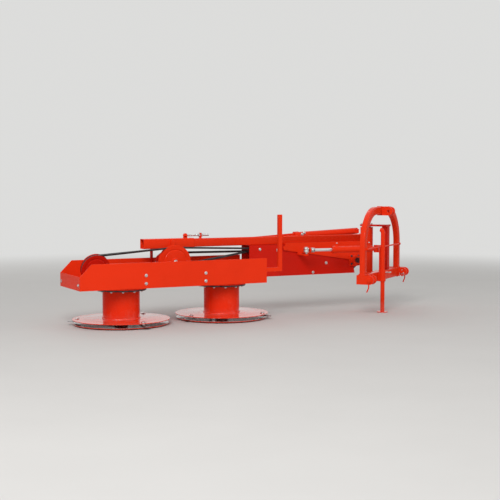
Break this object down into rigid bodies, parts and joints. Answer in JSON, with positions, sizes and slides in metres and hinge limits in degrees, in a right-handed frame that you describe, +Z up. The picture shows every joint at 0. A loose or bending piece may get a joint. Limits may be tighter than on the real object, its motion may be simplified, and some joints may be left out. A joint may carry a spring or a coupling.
{
  "type": "rear-mounted two-drum disc mower",
  "caption": "Belt-driven mower for a three-point hitch: cutting discs and knives under upright drums, hung in an open box on a beam that swings about an upright pin",
  "frame": {"origin": "on the ground under the middle of the machine's outline", "axes": "+X along the beam from the outer drum to the hitch, +Z up, +Y to the rear face of the beam"},
  "size_m": [2.4199, 0.7206, 0.68],
  "materials": {
    "red_paint": "gloss",
    "dark_red_paint": "satin",
    "zinc": "bright zinc plating",
    "chrome_rod": "polished",
    "dark_steel": "oiled",
    "belt_rubber": "matt",
    "knife_steel": "worn"
  },
  "bodies": {
    "headstock": {"cross_tube": "red_paint", "clevis_near": "red_paint", "clevis_far": "red_paint", "pin_near": "red_paint", "pin_far": "red_paint", "mast_near": "red_paint", "mast_far": "red_paint", "top_bracket": "red_paint", "swing_post": "dark_red_paint", "kingpin": "zinc", "stand_sleeve": "red_paint", "mast_rod": "red_paint"},
    "beam": {"beam": "red_paint", "beam_sleeve": "red_paint", "screw_adjuster": "zinc", "stay": "red_paint", "stay_clamp": "red_paint", "gusset": "red_paint", "belt_guard": "dark_red_paint", "bearing_housing": "red_paint", "side_plate_near": "red_paint", "side_plate_far": "red_paint", "deck": "dark_red_paint", "end_plate": "red_paint", "cradle": "dark_red_paint", "spindle_housings": "red_paint", "curtain_post": "red_paint", "guide_axles": "zinc", "belt_outer": "belt_rubber", "belt_inner": "belt_rubber"},
    "stand": {"stand": "red_paint"},
    "barrel": {"cylinder_barrel": "red_paint"},
    "rod": {"cylinder_rod": "chrome_rod"},
    "drive": {"drive_shaft": "dark_steel", "drive_pulley": "dark_steel"},
    "guide_outer": {"guide_outer": "dark_red_paint"},
    "guide_front": {"guide_front": "red_paint"},
    "guide_rear": {"guide_rear": "dark_red_paint"},
    "guide_inner": {"guide_inner": "dark_steel"},
    "drum_outer": {"drum_outer": "red_paint", "disc_outer": "red_paint", "knives_outer": "knife_steel"},
    "drum_inner": {"drum_inner": "red_paint", "disc_inner": "red_paint", "knives_inner": "knife_steel"},
    "skid_outer": {"skid_outer": "red_paint"},
    "skid_inner": {"skid_inner": "red_paint"}
  },
  "joints": [
    {"name": "beam_swing", "type": "hinge", "parent": "headstock", "child": "beam", "pos_m": [0.88248, 0.13982, 0.3], "axis": [0, 0, 1], "range_deg": [-52, 38]},
    {"name": "cylinder_turn", "type": "hinge", "parent": "headstock", "child": "barrel", "pos_m": [0.82955, -0.05539, 0.405], "axis": [0, 0, 1], "range_deg": [-55, 55]},
    {"name": "rod_slide", "type": "slide", "parent": "barrel", "child": "rod", "axis": [-0.9913, 0.1319, 0], "range_m": [-0.13, 0.18]},
    {"name": "stand_slide", "type": "slide", "parent": "headstock", "child": "stand", "axis": [0, 0, 1], "range_m": [0, 0.19]},
    {"name": "drum_outer_spin", "type": "hinge", "parent": "beam", "child": "drum_outer", "pos_m": [-0.89752, 0.04982, 0.04], "axis": [0, 0, 1], "continuous": true},
    {"name": "drum_inner_spin", "type": "hinge", "parent": "beam", "child": "drum_inner", "pos_m": [-0.24152, 0.04982, 0.04], "axis": [0, 0, 1], "continuous": true},
    {"name": "drive_spin", "type": "hinge", "parent": "beam", "child": "drive", "pos_m": [0.75748, 0.18382, 0.325], "axis": [0, 1, 0], "continuous": true},
    {"name": "guide_outer_spin", "type": "hinge", "parent": "beam", "child": "guide_outer", "pos_m": [-1.04652, 0.07982, 0.335], "axis": [0, 0.9397, 0.342], "continuous": true},
    {"name": "guide_front_spin", "type": "hinge", "parent": "beam", "child": "guide_front", "pos_m": [-0.54252, 0.07882, 0.357], "axis": [0, 1, 0], "continuous": true},
    {"name": "guide_rear_spin", "type": "hinge", "parent": "beam", "child": "guide_rear", "pos_m": [-0.55352, 0.15782, 0.331], "axis": [0, 0.9397, -0.342], "continuous": true},
    {"name": "guide_inner_spin", "type": "hinge", "parent": "beam", "child": "guide_inner", "pos_m": [0.18848, 0.15282, 0.397], "axis": [0, 1, 0], "continuous": true},
    {"name": "skid_outer_spin", "type": "hinge", "parent": "drum_outer", "child": "skid_outer", "pos_m": [-0.89752, 0.04982, 0.005], "axis": [0, 0, 1], "continuous": true},
    {"name": "skid_inner_spin", "type": "hinge", "parent": "drum_inner", "child": "skid_inner", "pos_m": [-0.24152, 0.04982, 0.005], "axis": [0, 0, 1], "continuous": true}
  ],
  "couplings": [
    {"joint": "cylinder_turn", "follows": "beam_swing", "ratio": 0.985},
    {"joint": "rod_slide", "follows": "beam_swing", "m_per_rad": -0.175},
    {"joint": "drum_inner_spin", "follows": "drum_outer_spin", "ratio": 1},
    {"joint": "drive_spin", "follows": "drum_outer_spin", "ratio": 0.98462},
    {"joint": "guide_outer_spin", "follows": "drum_outer_spin", "ratio": 0.82051},
    {"joint": "guide_front_spin", "follows": "drum_outer_spin", "ratio": 0.75294},
    {"joint": "guide_rear_spin", "follows": "drum_outer_spin", "ratio": 0.82051},
    {"joint": "guide_inner_spin", "follows": "drum_outer_spin", "ratio": -2.4615}
  ]
}
